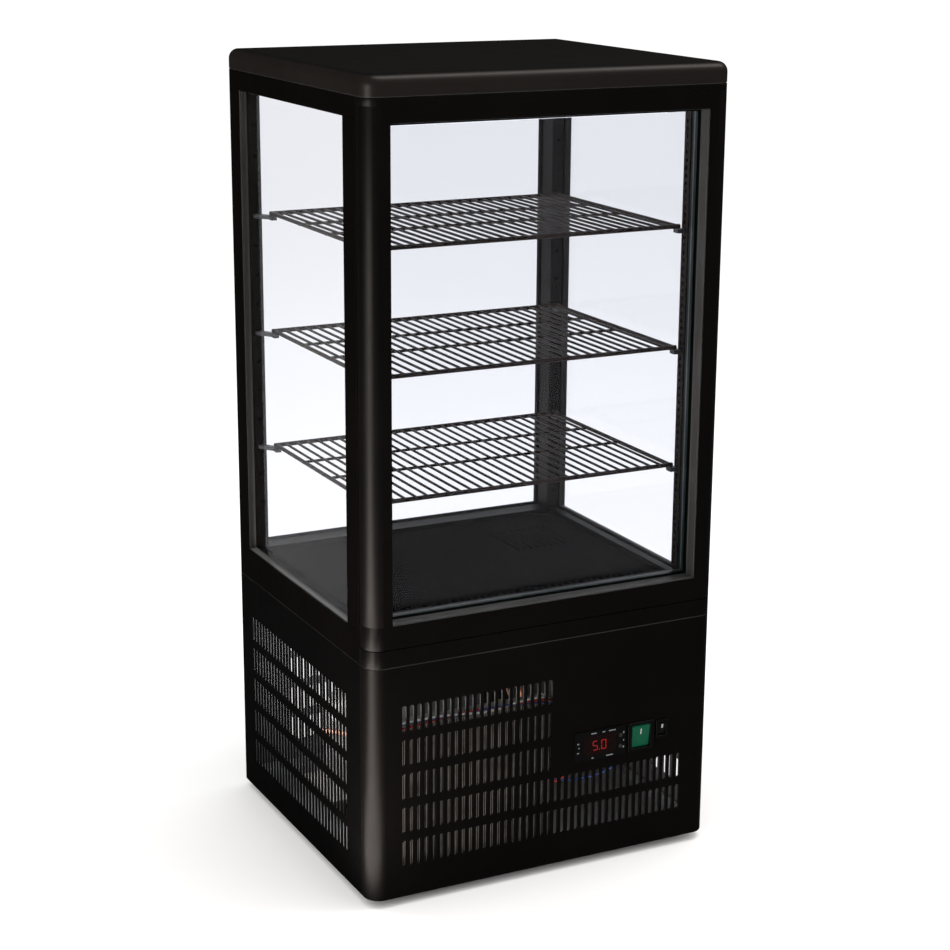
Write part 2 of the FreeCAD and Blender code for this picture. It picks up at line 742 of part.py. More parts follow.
def rotor(cx, cy, cz, axis, r_hub, r_tip, tall, n, name, pitch=32.0):
    """Fan wheel about an axis through (cx, cy, cz); built along Z, then turned."""
    parts_ = []
    h = doc.addObject("Part::Cylinder", uid("hub"))
    bind(h, "Radius", r_hub)
    bind(h, "Height", tall)
    parts_.append(h)
    for k in range(n):
        bl = doc.addObject("Part::Box", uid("blade"))
        bind(bl, "Length", e(r_tip) - e(r_hub) + 3)
        bind(bl, "Width", e(tall) * 1.15)
        bl.Height = 1.6
        lift = FreeCAD.Placement(V3(e(r_hub).n - 3, -e(tall).n * 0.575, -0.8), FreeCAD.Rotation())
        tilt = FreeCAD.Placement(V3(0, 0, e(tall).n / 2), FreeCAD.Rotation(V3(1, 0, 0), pitch))
        turn = FreeCAD.Placement(V3(0, 0, 0), FreeCAD.Rotation(V3(0, 0, 1), 360.0 * k / n))
        bl.Placement = turn.multiply(tilt.multiply(lift))
        parts_.append(bl)
    f = fuse(*parts_)
    lim = doc.addObject("Part::Cylinder", uid("lim"))
    bind(lim, "Radius", r_tip)
    bind(lim, "Height", tall)
    c = common(f, lim)
    if axis == "Y":
        c.Placement = FreeCAD.Placement(V3(0, 0, 0), FreeCAD.Rotation(V3(1, 0, 0), -90))
    bind(c, "Placement.Base.x", cx)
    bind(c, "Placement.Base.y", cy)
    bind(c, "Placement.Base.z", cz)
    return node(c, name)


rotor(fx, fy, efz + 5, "Z", 15, 37.5, 18, 7, "evaporator_fan_rotor")

# ================================================================ machine parts
# condenser behind the front slots
c0 = box(-186, 14, -176, -150, 34, 200)
cb_ = []
for i in range(6):
    cb_.append(cyl("X", 12, -163, 50 + i * 27.0, 4.5, 12))
ends = [box(-188, -186, -178, -148, 11.5, 202), box(14, 16, -178, -148, 11.5, 202)]
node(fuse(c0, *(cb_ + ends)), "condenser_coil")

# condenser fan and shroud
fr_, fxx, fzz = D["fan_r"], D["fan_x"], D["fan_z"]
b = new_body()
s = sketch(b, "XZ", 146)
loop(s, rect(fxx - 63, fxx + 63, fzz - 63, fzz + 63))
circle(s, fxx, fzz, fr_)
pad(b, s, 30).Reversed = True
hub = cyl("Y", fxx, -120, fzz, 20, 4)
arms = [box(fxx - 60, fxx + 60, -119, -116, fzz - 2.5, fzz + 2.5),
        box(fxx - 2.5, fxx + 2.5, -119, -116, fzz - 60, fzz + 60)]
legs = [box(fxx - 63, fxx - 48, -146, -116, 11.5, fzz - 62), box(fxx + 48, fxx + 63, -146, -116, 11.5, fzz - 62)]
node(fuse(b, hub, *(arms + legs)), "condenser_fan_frame")
rotor(fxx, -144, fzz, "Y", 20, fr_ - 2.5, 22, 5, "condenser_fan_rotor")

# compressor: domed shell on a foot plate
b = new_body()
s = sketch(b, "XZ", 0)
cr_ = D["comp_r"]
loop(s, [
    (0, 32), (cr_ - 22, 32, cr_ - 22, 54, 1), (cr_, 54), (cr_, 118, cr_ - 34, 118, 1), (cr_ - 34, 152), (0, 152),
])
rv = b.newObject("PartDesign::Revolution", uid("turn"))
rv.Profile = s
rv.ReferenceAxis = (s, ["V_Axis"])
rv.Angle = 360
b.Tip = rv
bind(b, "Placement.Base.x", D["comp_x"])
bind(b, "Placement.Base.y", D["comp_y"])
cx_, cy_ = D["comp_x"], D["comp_y"]
plate = box(cx_ - 78, cx_ + 78, cy_ - 46, cy_ + 46, 28, 32.5)
pads = []
for sx in (-1, 1):
    for sy in (-1, 1):
        pads.append(cyl("Z", cx_ + 68.0 * sx, cy_ + 36.0 * sy, 11.5, 8, 17))
relay = box(cx_ + 50, cx_ + 74, cy_ - 24, cy_ + 24, 60, 112)
node(fuse(b, plate, relay, *pads), "compressor")

# filter drier on its stand beside the compressor
b = new_body()
s = sketch(b, "XZ", 0)
loop(s, [(0, 11.5), (6, 11.5), (6, 14), (3, 14), (3, 74), (10, 84), (10, 140), (3, 150), (3, 164), (0, 164)])
rv = b.newObject("PartDesign::Revolution", uid("turn"))
rv.Profile = s
rv.ReferenceAxis = (s, ["V_Axis"])
rv.Angle = 360
b.Tip = rv
bind(b, "Placement.Base.x", 40)
bind(b, "Placement.Base.y", -60)
node(b, "filter_drier")

b = prism([rect(30, 186, 20, 170)], 11.5, 42)
s = sketch(b, "XY", 13.5)
loop(s, rect(32, 184, 22, 168))
pocket(b, s, 60, True)
node(b, "drip_tray")

# ================================================================ controls
fy0 = HD + D["bezel"]          # front of the bezels, in front of centre
ccx, ct, cw = D["ctl_x"], D["ctl_tall"], D["ctl_wide"]
btn_x = ccx + 26.2
btn_r = 2.6
body_ = box(ccx - cw / 2, ccx + cw / 2, -fy0, -HD, cz - ct / 2, cz + ct / 2)
case_ = box(ccx - 29, ccx + 29, -HD, -HD + 55, cz - 14, cz + 14)
holes = [cyl("Y", btn_x, -fy0 - 1, cz + 6.5, btn_r + D["run_gap"], 6.4),
         cyl("Y", btn_x, -fy0 - 1, cz - 6.5, btn_r + D["run_gap"], 6.4)]
win = box(ccx - 21, ccx + 21, -fy0 - 1, -fy0 + 2.2, cz - 11.5, cz + 11.5)
node(cut(fuse(body_, case_), win, *holes), "controller_body")
node(box(ccx - 21, ccx + 21, -fy0 + 0.4, -fy0 + 2.2, cz - 11.5, cz + 11.5), "controller_window")
node(cyl("Y", btn_x, -fy0 + 0.2, cz + 6.5, btn_r, 3.8), "controller_button_up")
node(cyl("Y", btn_x, -fy0 + 0.2, cz - 6.5, btn_r, 3.8), "controller_button_down")


def rocker(cx, czz, w, tall, ow, ot, cav, depth, pw, pt, pd, py, tilt, name):
    fl_ = box(cx - w / 2, cx + w / 2, -fy0, -HD, czz - tall / 2, czz + tall / 2)
    bd = box(cx - ow / 2 - 2, cx + ow / 2 + 2, -HD, -HD + depth, czz - ot / 2 - 1.8, czz + ot / 2 + 1.8)
    cavity = box(cx - ow / 2, cx + ow / 2, -fy0 - 1, -HD + cav, czz - ot / 2, czz + ot / 2)
    node(cut(fuse(fl_, bd), cavity), name + "_bezel")
    r = doc.addObject("Part::Box", uid("paddle"))
    r.Length, r.Width, r.Height = pw, pd, pt
    rr0 = FreeCAD.Placement(V3(0, 0, 0), FreeCAD.Rotation(V3(1, 0, 0), tilt)).multiply(
        FreeCAD.Placement(V3(-pw / 2.0, -pd / 2.0, -pt / 2.0), FreeCAD.Rotation()))
    r.Placement = rr0
    g = doc.addObject("Part::Compound", uid("paddle_at"))
    g.Links = [r]
    bind(g, "Placement.Base.x", cx)
    bind(g, "Placement.Base.y", -e(py))
    bind(g, "Placement.Base.z", czz)
    node(g, name)


rocker(D["rk_x"], cz, D["rk_wide"], D["rk_tall"], 24.2, 27.8, 10, 26, 23.2, 26.0, 8.0, fy0 - 5.85, 8.0, "rocker_main")
rocker(D["lt_x"], D["lt_z"], D["lt_wide"], D["lt_tall"], 8.8, 16.0, 8, 18, 8.0, 14.2, 6.0, fy0 - 4.3, 9.0, "rocker_light")

# ================================================================ fasteners
heads = []
for xx, zz in ((-180, 262), (0, 262), (180, 262), (-180, 24), (0, 24), (180, 24)):
    heads.append(cyl("Y", xx, HD, zz, 3.6, 1.5))
node(gather(*heads), "screws")

# ================================================================ check and write
doc.recompute()
bad = []
for o in doc.Objects:
    st_ = list(o.State)
    if "Invalid" in st_ or "Error" in st_:
        bad.append((o.Label, st_))
for label, o in NODES:
    sh_ = o.Shape
    if sh_.isNull() or not sh_.isValid() or not sh_.Solids:
        bad.append((label, "shape"))
if bad:
    raise SystemExit("problems: %s" % bad[:20])
for label, o in NODES:
    o.Shape.exportStep("parts/%s.step" % label)
    bb = o.Shape.BoundBox
    print("%-26s solids %2d vol %10.1f  x %.2f..%.2f y %.2f..%.2f z %.2f..%.2f" % (
        label, len(o.Shape.Solids), o.Shape.Volume, bb.XMin, bb.XMax, bb.YMin, bb.YMax, bb.ZMin, bb.ZMax))
print("nodes", len(NODES))
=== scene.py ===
import bpy
import bmesh
import json
import math
import random
from mathutils import Vector, Matrix

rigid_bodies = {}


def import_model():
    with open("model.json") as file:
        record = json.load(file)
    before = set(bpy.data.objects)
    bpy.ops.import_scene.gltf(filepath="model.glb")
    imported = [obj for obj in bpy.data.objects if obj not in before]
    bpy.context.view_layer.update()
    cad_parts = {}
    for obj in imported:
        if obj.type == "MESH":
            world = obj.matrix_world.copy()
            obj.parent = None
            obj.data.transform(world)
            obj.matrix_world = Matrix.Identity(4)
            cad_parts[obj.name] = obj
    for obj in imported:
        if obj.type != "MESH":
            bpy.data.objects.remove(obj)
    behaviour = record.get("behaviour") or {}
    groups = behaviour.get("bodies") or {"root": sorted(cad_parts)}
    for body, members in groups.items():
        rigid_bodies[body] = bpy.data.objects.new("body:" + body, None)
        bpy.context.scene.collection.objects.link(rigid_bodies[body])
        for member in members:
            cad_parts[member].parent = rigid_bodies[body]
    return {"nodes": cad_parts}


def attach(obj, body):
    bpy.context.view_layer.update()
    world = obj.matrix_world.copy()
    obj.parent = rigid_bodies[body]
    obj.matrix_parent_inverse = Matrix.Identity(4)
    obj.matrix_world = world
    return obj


for o in list(bpy.data.objects):
    bpy.data.objects.remove(o)
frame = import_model()
bpy.context.view_layer.update()
N = frame["nodes"]
random.seed(7)
SC = bpy.context.scene


# ---------------------------------------------------------------- materials
def new_mat(name):
    m = bpy.data.materials.new(name)
    m.use_nodes = True
    nt = m.node_tree
    for n in list(nt.nodes):
        nt.nodes.remove(n)
    out = nt.nodes.new("ShaderNodeOutputMaterial")
    bs = nt.nodes.new("ShaderNodeBsdfPrincipled")
    nt.links.new(bs.outputs[0], out.inputs[0])
    tc = nt.nodes.new("ShaderNodeTexCoord")
    return m, nt, bs, out, tc


def noise(nt, tc, scale, detail=3.0, rough=0.5, stretch=None):
    src = tc.outputs["Object"]
    if stretch:
        mp = nt.nodes.new("ShaderNodeMapping")
        mp.inputs["Scale"].default_value = stretch
        nt.links.new(src, mp.inputs["Vector"])
        src = mp.outputs[0]
    n = nt.nodes.new("ShaderNodeTexNoise")
    n.inputs["Scale"].default_value = scale
    n.inputs["Detail"].default_value = detail
    n.inputs["Roughness"].default_value = rough
    nt.links.new(src, n.inputs["Vector"])
    return n.outputs["Fac"]


def mrange(nt, src, a, b, c, d):
    n = nt.nodes.new("ShaderNodeMapRange")
    n.inputs["From Min"].default_value = a
    n.inputs["From Max"].default_value = b
    n.inputs["To Min"].default_value = c
    n.inputs["To Max"].default_value = d
    nt.links.new(src, n.inputs["Value"])
    return n.outputs["Result"]


def mix_col(nt, fac, a, b):
    n = nt.nodes.new("ShaderNodeMix")
    n.data_type = "RGBA"
    if isinstance(fac, float):
        n.inputs[0].default_value = fac
    else:
        nt.links.new(fac, n.inputs[0])
    for k, v in ((6, a), (7, b)):
        if isinstance(v, (tuple, list)):
            n.inputs[k].default_value = (*v, 1.0)
        else:
            nt.links.new(v, n.inputs[k])
    return n.outputs[2]


def math_n(nt, op, a, b=None):
    n = nt.nodes.new("ShaderNodeMath")
    n.operation = op
    for k, v in ((0, a), (1, b)):
        if v is None:
            continue
        if isinstance(v, (int, float)):
            n.inputs[k].default_value = float(v)
        else:
            nt.links.new(v, n.inputs[k])
    return n.outputs[0]


def bump(nt, bs, height, strength, dist):
    n = nt.nodes.new("ShaderNodeBump")
    n.inputs["Strength"].default_value = strength
    n.inputs["Distance"].default_value = dist
    nt.links.new(height, n.inputs["Height"])
    nt.links.new(n.outputs[0], bs.inputs["Normal"])
    return n


def plastic(name, base, var, rough=(0.38, 0.5), grain=1400.0, depth=0.00004, strength=0.35, spec=0.3, dust=0.05,
            dust_and_painted_top_col=(0.32, 0.30, 0.27), scratch=0.0, even=False):
    """Moulded or coated surface: fine grain, cloudy colour drift, patchy gloss, dust on what faces up. The same
    up-facing mix is painted shade on the cover's top and a painted highlight on the side beads' sill lips.
    """
    m, nt, bs, out, tc = new_mat(name)
    cloud = noise(nt, tc, 7.0, 5.0, 0.6)
    fine = noise(nt, tc, grain, 2.0, 0.5)
    patch = noise(nt, tc, 34.0, 6.0, 0.65)
    col = mix_col(nt, mrange(nt, cloud, 0.3, 0.7, 0.0, 1.0), base, var)
    geo = nt.nodes.new("ShaderNodeNewGeometry")
    sep = nt.nodes.new("ShaderNodeSeparateXYZ")
    nt.links.new(geo.outputs["Normal"], sep.inputs[0])
    up = mrange(nt, sep.outputs["Z"], *((0.8, 0.98) if even else (0.45, 1.0)), 0.0, 1.0)
    speck = mrange(nt, noise(nt, tc, 260.0, 4.0, 0.7), 0.45, 0.75, 0.0, 1.0)
    if even:
        speck = mrange(nt, speck, 0.0, 1.0, 0.85, 1.0)
    # up-facing faces take the overlay colour: dust on most materials, painted shade on the cover top, a painted
    # highlight on the side bead lips
    dust_and_painted_top_fac = math_n(nt, "MULTIPLY", math_n(nt, "MULTIPLY", up, speck), dust)
    col = mix_col(nt, dust_and_painted_top_fac, col, dust_and_painted_top_col)
    nt.links.new(col, bs.inputs["Base Color"])
    r = mrange(nt, patch, 0.3, 0.7, rough[0], rough[1])
    if scratch > 0:
        sc_ = mrange(nt, noise(nt, tc, 90.0, 8.0, 0.8, (1.0, 1.0, 14.0)), 0.62, 0.7, 0.0, scratch)
        r = math_n(nt, "ADD", r, sc_)
    nt.links.new(r, bs.inputs["Roughness"])
    bs.inputs["Specular IOR Level"].default_value = spec
    bump(nt, bs, fine, strength, depth)
    return m


def metal(name, base, var, rough=(0.25, 0.4), grain=900.0, stretch=(1, 1, 1), strength=0.3, depth=0.00003, aniso=0.0):
    m, nt, bs, out, tc = new_mat(name)
    cloud = noise(nt, tc, 14.0, 5.0, 0.6)
    brush = noise(nt, tc, grain, 3.0, 0.6, stretch)
    nt.links.new(mix_col(nt, mrange(nt, cloud, 0.3, 0.7, 0.0, 1.0), base, var), bs.inputs["Base Color"])
    nt.links.new(mrange(nt, brush, 0.25, 0.75, rough[0], rough[1]), bs.inputs["Roughness"])
    bs.inputs["Metallic"].default_value = 1.0
    bs.inputs["Anisotropic"].default_value = aniso
    bump(nt, bs, brush, strength, depth)
    return m


def glass_mat(name, tint, lamp_tint, rough=(0.0, 0.03)):
    m, nt, bs, out, tc = new_mat(name)
    bs.inputs["Base Color"].default_value = (*tint, 1)
    bs.inputs["Transmission Weight"].default_value = 1.0
    bs.inputs["IOR"].default_value = 1.13
    smear = mrange(nt, noise(nt, tc, 9.0, 6.0, 0.7, (1.0, 1.0, 0.35)), 0.5, 0.8, rough[0], rough[1])
    nt.links.new(smear, bs.inputs["Roughness"])
    lp = nt.nodes.new("ShaderNodeLightPath")
    tr = nt.nodes.new("ShaderNodeBsdfTransparent")
    tr.inputs[0].default_value = (*lamp_tint, 1)
    mx = nt.nodes.new("ShaderNodeMixShader")
    nt.links.new(lp.outputs["Is Shadow Ray"], mx.inputs[0])
    nt.links.new(bs.outputs[0], mx.inputs[1])
    nt.links.new(tr.outputs[0], mx.inputs[2])
    nt.links.new(mx.outputs[0], out.inputs[0])
    return m


def glow(name, col, power, base=None, rough=0.3):
    m, nt, bs, out, tc = new_mat(name)
    n_ = noise(nt, tc, 320.0, 2.0, 0.5)
    nt.links.new(mix_col(nt, n_, base or col, tuple(c * 0.8 for c in (base or col))), bs.inputs["Base Color"])
    nt.links.new(mrange(nt, noise(nt, tc, 60.0), 0.3, 0.7, rough, rough + 0.12), bs.inputs["Roughness"])
    bs.inputs["Emission Color"].default_value = (*col, 1)
    bs.inputs["Emission Strength"].default_value = power
    return m


def fins(name, base, gap_shade, pitch, axis):
    """Finned block: thin plates across the airflow with painted shade in the gaps between them, and dust caught on the
    edges.
    """
    m, nt, bs, out, tc = new_mat(name)
    sep = nt.nodes.new("ShaderNodeSeparateXYZ")
    nt.links.new(tc.outputs["Object"], sep.inputs[0])
    ph = math_n(nt, "FRACT", math_n(nt, "MULTIPLY", sep.outputs[axis], 1.0 / pitch))
    wobble = mrange(nt, noise(nt, tc, 70.0, 4.0), 0.3, 0.7, -0.12, 0.12)
    edge = mrange(nt, math_n(nt, "ABSOLUTE", math_n(nt, "SUBTRACT", math_n(nt, "ADD", ph, wobble), 0.5)), 0.16, 0.3, 1.0, 0.0)
    # plates in the base colour, the gaps between them in the gap colour as painted shade
    col = mix_col(nt, edge, gap_shade, base)
    dust = mrange(nt, noise(nt, tc, 40.0, 6.0, 0.7), 0.5, 0.75, 0.0, 0.55)
    nt.links.new(mix_col(nt, dust, col, (0.12, 0.11, 0.1)), bs.inputs["Base Color"])
    nt.links.new(mrange(nt, dust, 0.0, 0.55, 0.35, 0.8), bs.inputs["Roughness"])
    bs.inputs["Metallic"].default_value = 0.25
    bump(nt, bs, edge, 0.8, 0.0006)
    return m


M = {}
M["body"] = plastic("body_black", (0.0016, 0.0010, 0.0008), (0.0026, 0.0017, 0.0014), (0.38, 0.46), 1500, 0.00003, 0.3, 0.28, 0.006)
M["door"] = plastic("door_black", (0.0016, 0.0010, 0.0008), (0.0026, 0.0017, 0.0014), (0.38, 0.46), 1700, 0.00002, 0.25, 0.28, 0.006)
# cover: base lifted to brown grey as a painted sheen on its front band; its up-facing faces mixed to near black as
# painted shade
M["cover"] = plastic("cover_painted_sheen_and_top_shade", (0.0080, 0.0060, 0.0052), (0.0105, 0.0080, 0.0070), (0.36, 0.44), 1500, 0.00003, 0.3, 0.30, 1.0,
                     (0.0006, 0.0005, 0.0005), even=True)
M["panel"] = plastic("side_panel_black", (0.0007, 0.0006, 0.0006), (0.0015, 0.0013, 0.0013), (0.38, 0.5), 1200, 0.00004, 0.4, 0.14, 0.006, scratch=0.08)


def bare_inside(m, col):
    """Sheet painted outside only: faces that look in towards the middle keep their bare zinc coat."""
    nt = m.node_tree
    bs = next(n for n in nt.nodes if n.type == "BSDF_PRINCIPLED")
    tc = next(n for n in nt.nodes if n.type == "TEX_COORD")
    geo = next(n for n in nt.nodes if n.type == "NEW_GEOMETRY")
    dot = nt.nodes.new("ShaderNodeVectorMath")
    dot.operation = "DOT_PRODUCT"
    flat = nt.nodes.new("ShaderNodeVectorMath")
    flat.operation = "MULTIPLY"
    flat.inputs[1].default_value = (1.0, 1.0, 0.0)
    nt.links.new(tc.outputs["Object"], flat.inputs[0])
    nt.links.new(flat.outputs["Vector"], dot.inputs[0])
    nt.links.new(geo.outputs["Normal"], dot.inputs[1])
    inward = math_n(nt, "LESS_THAN", dot.outputs["Value"], -0.17)
    zinc = mix_col(nt, noise(nt, tc, 55.0, 5.0, 0.7), tuple(c * 0.75 for c in col), col)
    old = bs.inputs["Base Color"].links[0].from_socket
    nt.links.new(mix_col(nt, inward, old, zinc), bs.inputs["Base Color"])


bare_inside(M["panel"], (0.085, 0.085, 0.09))
M["frame"] = plastic("frame_dark", (0.0015, 0.0010, 0.0008), (0.0026, 0.0018, 0.0015), (0.38, 0.46), 1500, 0.00003, 0.3, 0.08, 0.006)
M["inner"] = plastic("inner_dark", (0.0050, 0.0046, 0.0045), (0.0080, 0.0074, 0.0072), (0.45, 0.6), 1300, 0.00004, 0.35, 0.05, 0.02)
M["deck"] = plastic("deck_black", (0.0032, 0.0031, 0.0032), (0.0055, 0.0052, 0.0053), (0.5, 0.62), 1300, 0.00004, 0.35, 0.0, 0.004)
# seam trims: light grey as a painted highlight, standing for the catch-light along the seam edges
M["trim"] = plastic("seam_trim_painted_highlight", (0.034, 0.033, 0.032), (0.048, 0.047, 0.045), (0.42, 0.55), 1500, 0.00002, 0.2, 0.4, 0.02)
# door bead: its grey is a painted highlight for light falling on the window lip
M["bead"] = plastic("glazing_bead_painted_lip_highlight", (0.026, 0.026, 0.0255), (0.036, 0.036, 0.035), (0.35, 0.45), 1600, 0.00002, 0.2, 0.15, 0.02)
# side and rear beads: plain dark grey, with their up-facing sill lip mixed to pale grey as a painted highlight
M["bead_lit"] = plastic("glazing_bead_side_painted_highlight", (0.012, 0.012, 0.012), (0.018, 0.018, 0.0175), (0.3, 0.42), 1600, 0.00002, 0.2, 0.35, 0.9,
                        (0.13, 0.13, 0.127), even=True)
M["glass"] = glass_mat("clear_glass", (0.905, 0.912, 0.935), (0.92, 0.93, 0.945))
M["spacer"] = plastic("spacer_slate", (0.0055, 0.0105, 0.0095), (0.0085, 0.0150, 0.0135), (0.35, 0.45), 1200, 0.00003, 0.3, 0.12, 0.0)
M["spacer_line"] = metal("spacer_aluminium", (0.10, 0.105, 0.11), (0.13, 0.135, 0.14), (0.3, 0.42), 1400, (1, 1, 6))
M["seal"] = plastic("seal_rubber", (0.010, 0.010, 0.010), (0.018, 0.018, 0.018), (0.62, 0.78), 900, 0.00008, 0.5, 0.25, 0.1)
M["foot"] = plastic("foot_rubber", (0.012, 0.012, 0.012), (0.02, 0.02, 0.02), (0.7, 0.85), 700, 0.0001, 0.6, 0.2, 0.2)
M["standard"] = plastic("standard_brown", (0.0120, 0.0080, 0.0070), (0.020, 0.014, 0.012), (0.4, 0.5), 1300, 0.00004, 0.4, 0.08, 0.02)
M["wire"] = plastic("coated_wire_brown", (0.010, 0.0055, 0.0045), (0.018, 0.010, 0.008), (0.3, 0.42), 900, 0.00006, 0.4, 0.08, 0.01)
M["clip"] = plastic("clip_dark", (0.02, 0.02, 0.024), (0.03, 0.03, 0.034), (0.4, 0.5), 1200, 0.00003, 0.3, 0.4, 0.0)
M["tub"] = plastic("tub_lining", (0.45, 0.45, 0.43), (0.52, 0.52, 0.5), (0.5, 0.65), 800, 0.00006, 0.4, 0.4, 0.2)
M["white"] = plastic("ceiling_white", (0.72, 0.73, 0.74), (0.78, 0.79, 0.8), (0.38, 0.5), 1500, 0.00003, 0.3, 0.5, 0.05)
M["lamp"] = glow("lamp_frosted", (0.95, 0.98, 1.0), 1.6, (0.9, 0.92, 0.95))
# coil fin gaps: the near-black second colour is painted shade between the plates
M["coil"] = fins("condenser_fins", (0.42, 0.38, 0.35), (0.01, 0.01, 0.01), 0.0022, "X")
M["evap"] = fins("evaporator_fins", (0.5, 0.5, 0.5), (0.02, 0.02, 0.02), 0.003, "X")
# compressor: its black paint lifted to mid grey as painted light for the lit housing seen through the slots
M["comp"] = plastic("compressor_grey_painted_light", (0.09, 0.088, 0.087), (0.12, 0.117, 0.115), (0.28, 0.42), 500, 0.0002, 0.5, 0.5, 0.5)
M["fan"] = plastic("fan_grey", (0.035, 0.035, 0.036), (0.05, 0.05, 0.051), (0.4, 0.55), 1000, 0.00004, 0.3, 0.4, 0.4)
M["copper"] = metal("copper_tube", (0.40, 0.20, 0.13), (0.30, 0.15, 0.10), (0.28, 0.5), 300, (1, 1, 1))
M["tray"] = plastic("tray_grey", (0.05, 0.05, 0.05), (0.07, 0.07, 0.07), (0.5, 0.65), 1000, 0.00004, 0.3, 0.4, 0.4)
M["zinc"] = metal("pan_zinc", (0.42, 0.43, 0.44), (0.34, 0.35, 0.36), (0.35, 0.55), 60, (1, 1, 1), 0.2)
M["steel"] = metal("pin_steel", (0.5, 0.5, 0.5), (0.42, 0.42, 0.42), (0.25, 0.4), 1500, (1, 1, 8))
M["ctl"] = plastic("control_black", (0.0016, 0.0016, 0.0018), (0.0028, 0.0028, 0.003), (0.3, 0.42), 1800, 0.00002, 0.25, 0.3, 0.01)
M["lens"] = plastic("display_lens", (0.004, 0.0012, 0.0012), (0.006, 0.002, 0.0018), (0.1, 0.18), 600, 0.00001, 0.1, 0.5, 0.0)
M["button"] = plastic("button_grey", (0.016, 0.016, 0.016), (0.022, 0.022, 0.021), (0.35, 0.5), 1500, 0.00002, 0.2, 0.4, 0.1)
M["mark"] = plastic("mark_white", (0.30, 0.30, 0.29), (0.36, 0.36, 0.35), (0.5, 0.6), 1500, 0.00001, 0.1, 0.4, 0.0)
M["digit"] = glow("display_red", (0.75, 0.016, 0.012), 0.24, (0.12, 0.004, 0.003))
M["green"] = glow("rocker_green", (0.002, 0.26, 0.12), 0.14, (0.0015, 0.045, 0.022), 0.3)
M["rk"] = plastic("rocker_black", (0.003, 0.003, 0.003), (0.005, 0.005, 0.005), (0.25, 0.36), 1800, 0.00002, 0.2, 0.45, 0.05)
M["w_red"] = plastic("wire_red", (0.34, 0.02, 0.015), (0.26, 0.015, 0.01), (0.35, 0.5), 600, 0.00003, 0.2, 0.4, 0.1)
M["w_blue"] = plastic("wire_blue", (0.02, 0.06, 0.24), (0.015, 0.045, 0.18), (0.35, 0.5), 600, 0.00003, 0.2, 0.4, 0.1)
M["w_white"] = plastic("wire_white", (0.62, 0.62, 0.6), (0.5, 0.5, 0.48), (0.35, 0.5), 600, 0.00003, 0.2, 0.4, 0.1)
M["w_green"] = plastic("wire_green", (0.05, 0.3, 0.06), (0.4, 0.36, 0.03), (0.35, 0.5), 600, 0.00003, 0.2, 0.4, 0.1)

LOOK = {
    "base_pan": "zinc", "feet": "foot", "lower_front_panel": "body", "lower_side_panel_left": "panel",
    "lower_side_panel_right": "panel", "lower_rear_panel": "panel", "cord_inlet": "ctl", "seam_trims": "trim",
    "bottom_rail_left": "frame", "bottom_rail_right": "frame", "bottom_rail_rear": "frame",
    "top_rail_left": "frame", "top_rail_right": "frame", "top_rail_rear": "frame", "front_sill": "body",
    "threshold": "inner", "top_header": "inner", "post_front_left": "frame", "post_front_right": "frame",
    "post_rear_left": "frame", "post_rear_right": "frame", "shelf_standards": "standard",
    "glass_side_left": "glass", "glass_side_right": "glass", "glass_rear": "glass", "ceiling_panel": "white",
    "lamp_housing": "white", "lamp_diffuser": "lamp", "top_cover": "cover", "door_frame": "door",
    "door_cap_bottom": "door", "door_cap_top": "door", "door_panes": "glass", "door_spacer": "spacer",
    "door_gasket": "seal", "hinge_pins": "steel", "shelf_lower": "wire", "shelf_middle": "wire",
    "shelf_upper": "wire", "shelf_clips": "clip", "deck_panel": "deck", "evaporator_tub": "tub",
    "evaporator_coil": "evap", "evaporator_fan_frame": "fan", "evaporator_fan_rotor": "fan",
    "condenser_coil": "coil", "condenser_fan_frame": "fan", "condenser_fan_rotor": "fan", "compressor": "comp",
    "filter_drier": "copper", "drip_tray": "tray", "controller_body": "ctl", "controller_window": "lens",
    "controller_button_up": "button", "controller_button_down": "button", "rocker_main_bezel": "ctl",
    "rocker_main": "green", "rocker_light_bezel": "ctl", "rocker_light": "rk", "screws": "steel",
}
for name, key in LOOK.items():
    o = N[name]
    for s in o.material_slots:
        s.material = M[key]

# softened edges on the moulded pieces
for name, w in (("door_frame", 0.0006), ("door_cap_bottom", 0.0006), ("door_cap_top", 0.0005), ("front_sill", 0.0005),
                ("bottom_rail_left", 0.0005), ("bottom_rail_right", 0.0005), ("bottom_rail_rear", 0.0005),
                ("top_rail_left", 0.0005), ("top_rail_right", 0.0005), ("top_rail_rear", 0.0005),
                ("post_front_left", 0.0005), ("post_front_right", 0.0005), ("post_rear_left", 0.0005),
                ("post_rear_right", 0.0005), ("controller_body", 0.0005), ("rocker_main_bezel", 0.0007),
                ("rocker_light_bezel", 0.0006), ("rocker_main", 0.0008), ("rocker_light", 0.0007),
                ("threshold", 0.0008), ("top_header", 0.0006)):
    o = N[name]
    wl = o.modifiers.new("weld", "WELD")
    wl.merge_threshold = 0.00001
    bv = o.modifiers.new("edge", "BEVEL")
    bv.width = w
    bv.segments = 2
    bv.limit_method = "ANGLE"
    bv.angle_limit = math.radians(50)
    bv.harden_normals = True
    bv.use_clamp_overlap = True


# ---------------------------------------------------------------- piece builders
def add_mesh(name, verts, faces, mat, body, smooth=True, angle=35.0):
    me = bpy.data.meshes.new(name)
    me.from_pydata([tuple(v) for v in verts], [], faces)
    me.validate()
    bm = bmesh.new()
    bm.from_mesh(me)
    bmesh.ops.recalc_face_normals(bm, faces=bm.faces)
    bm.to_mesh(me)
    bm.free()
    me.materials.append(mat)
    if smooth:
        me.polygons.foreach_set("use_smooth", [True] * len(me.polygons))
        me.set_sharp_from_angle(angle=math.radians(angle))
    o = bpy.data.objects.new(name, me)
    SC.collection.objects.link(o)
    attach(o, body)
    return o


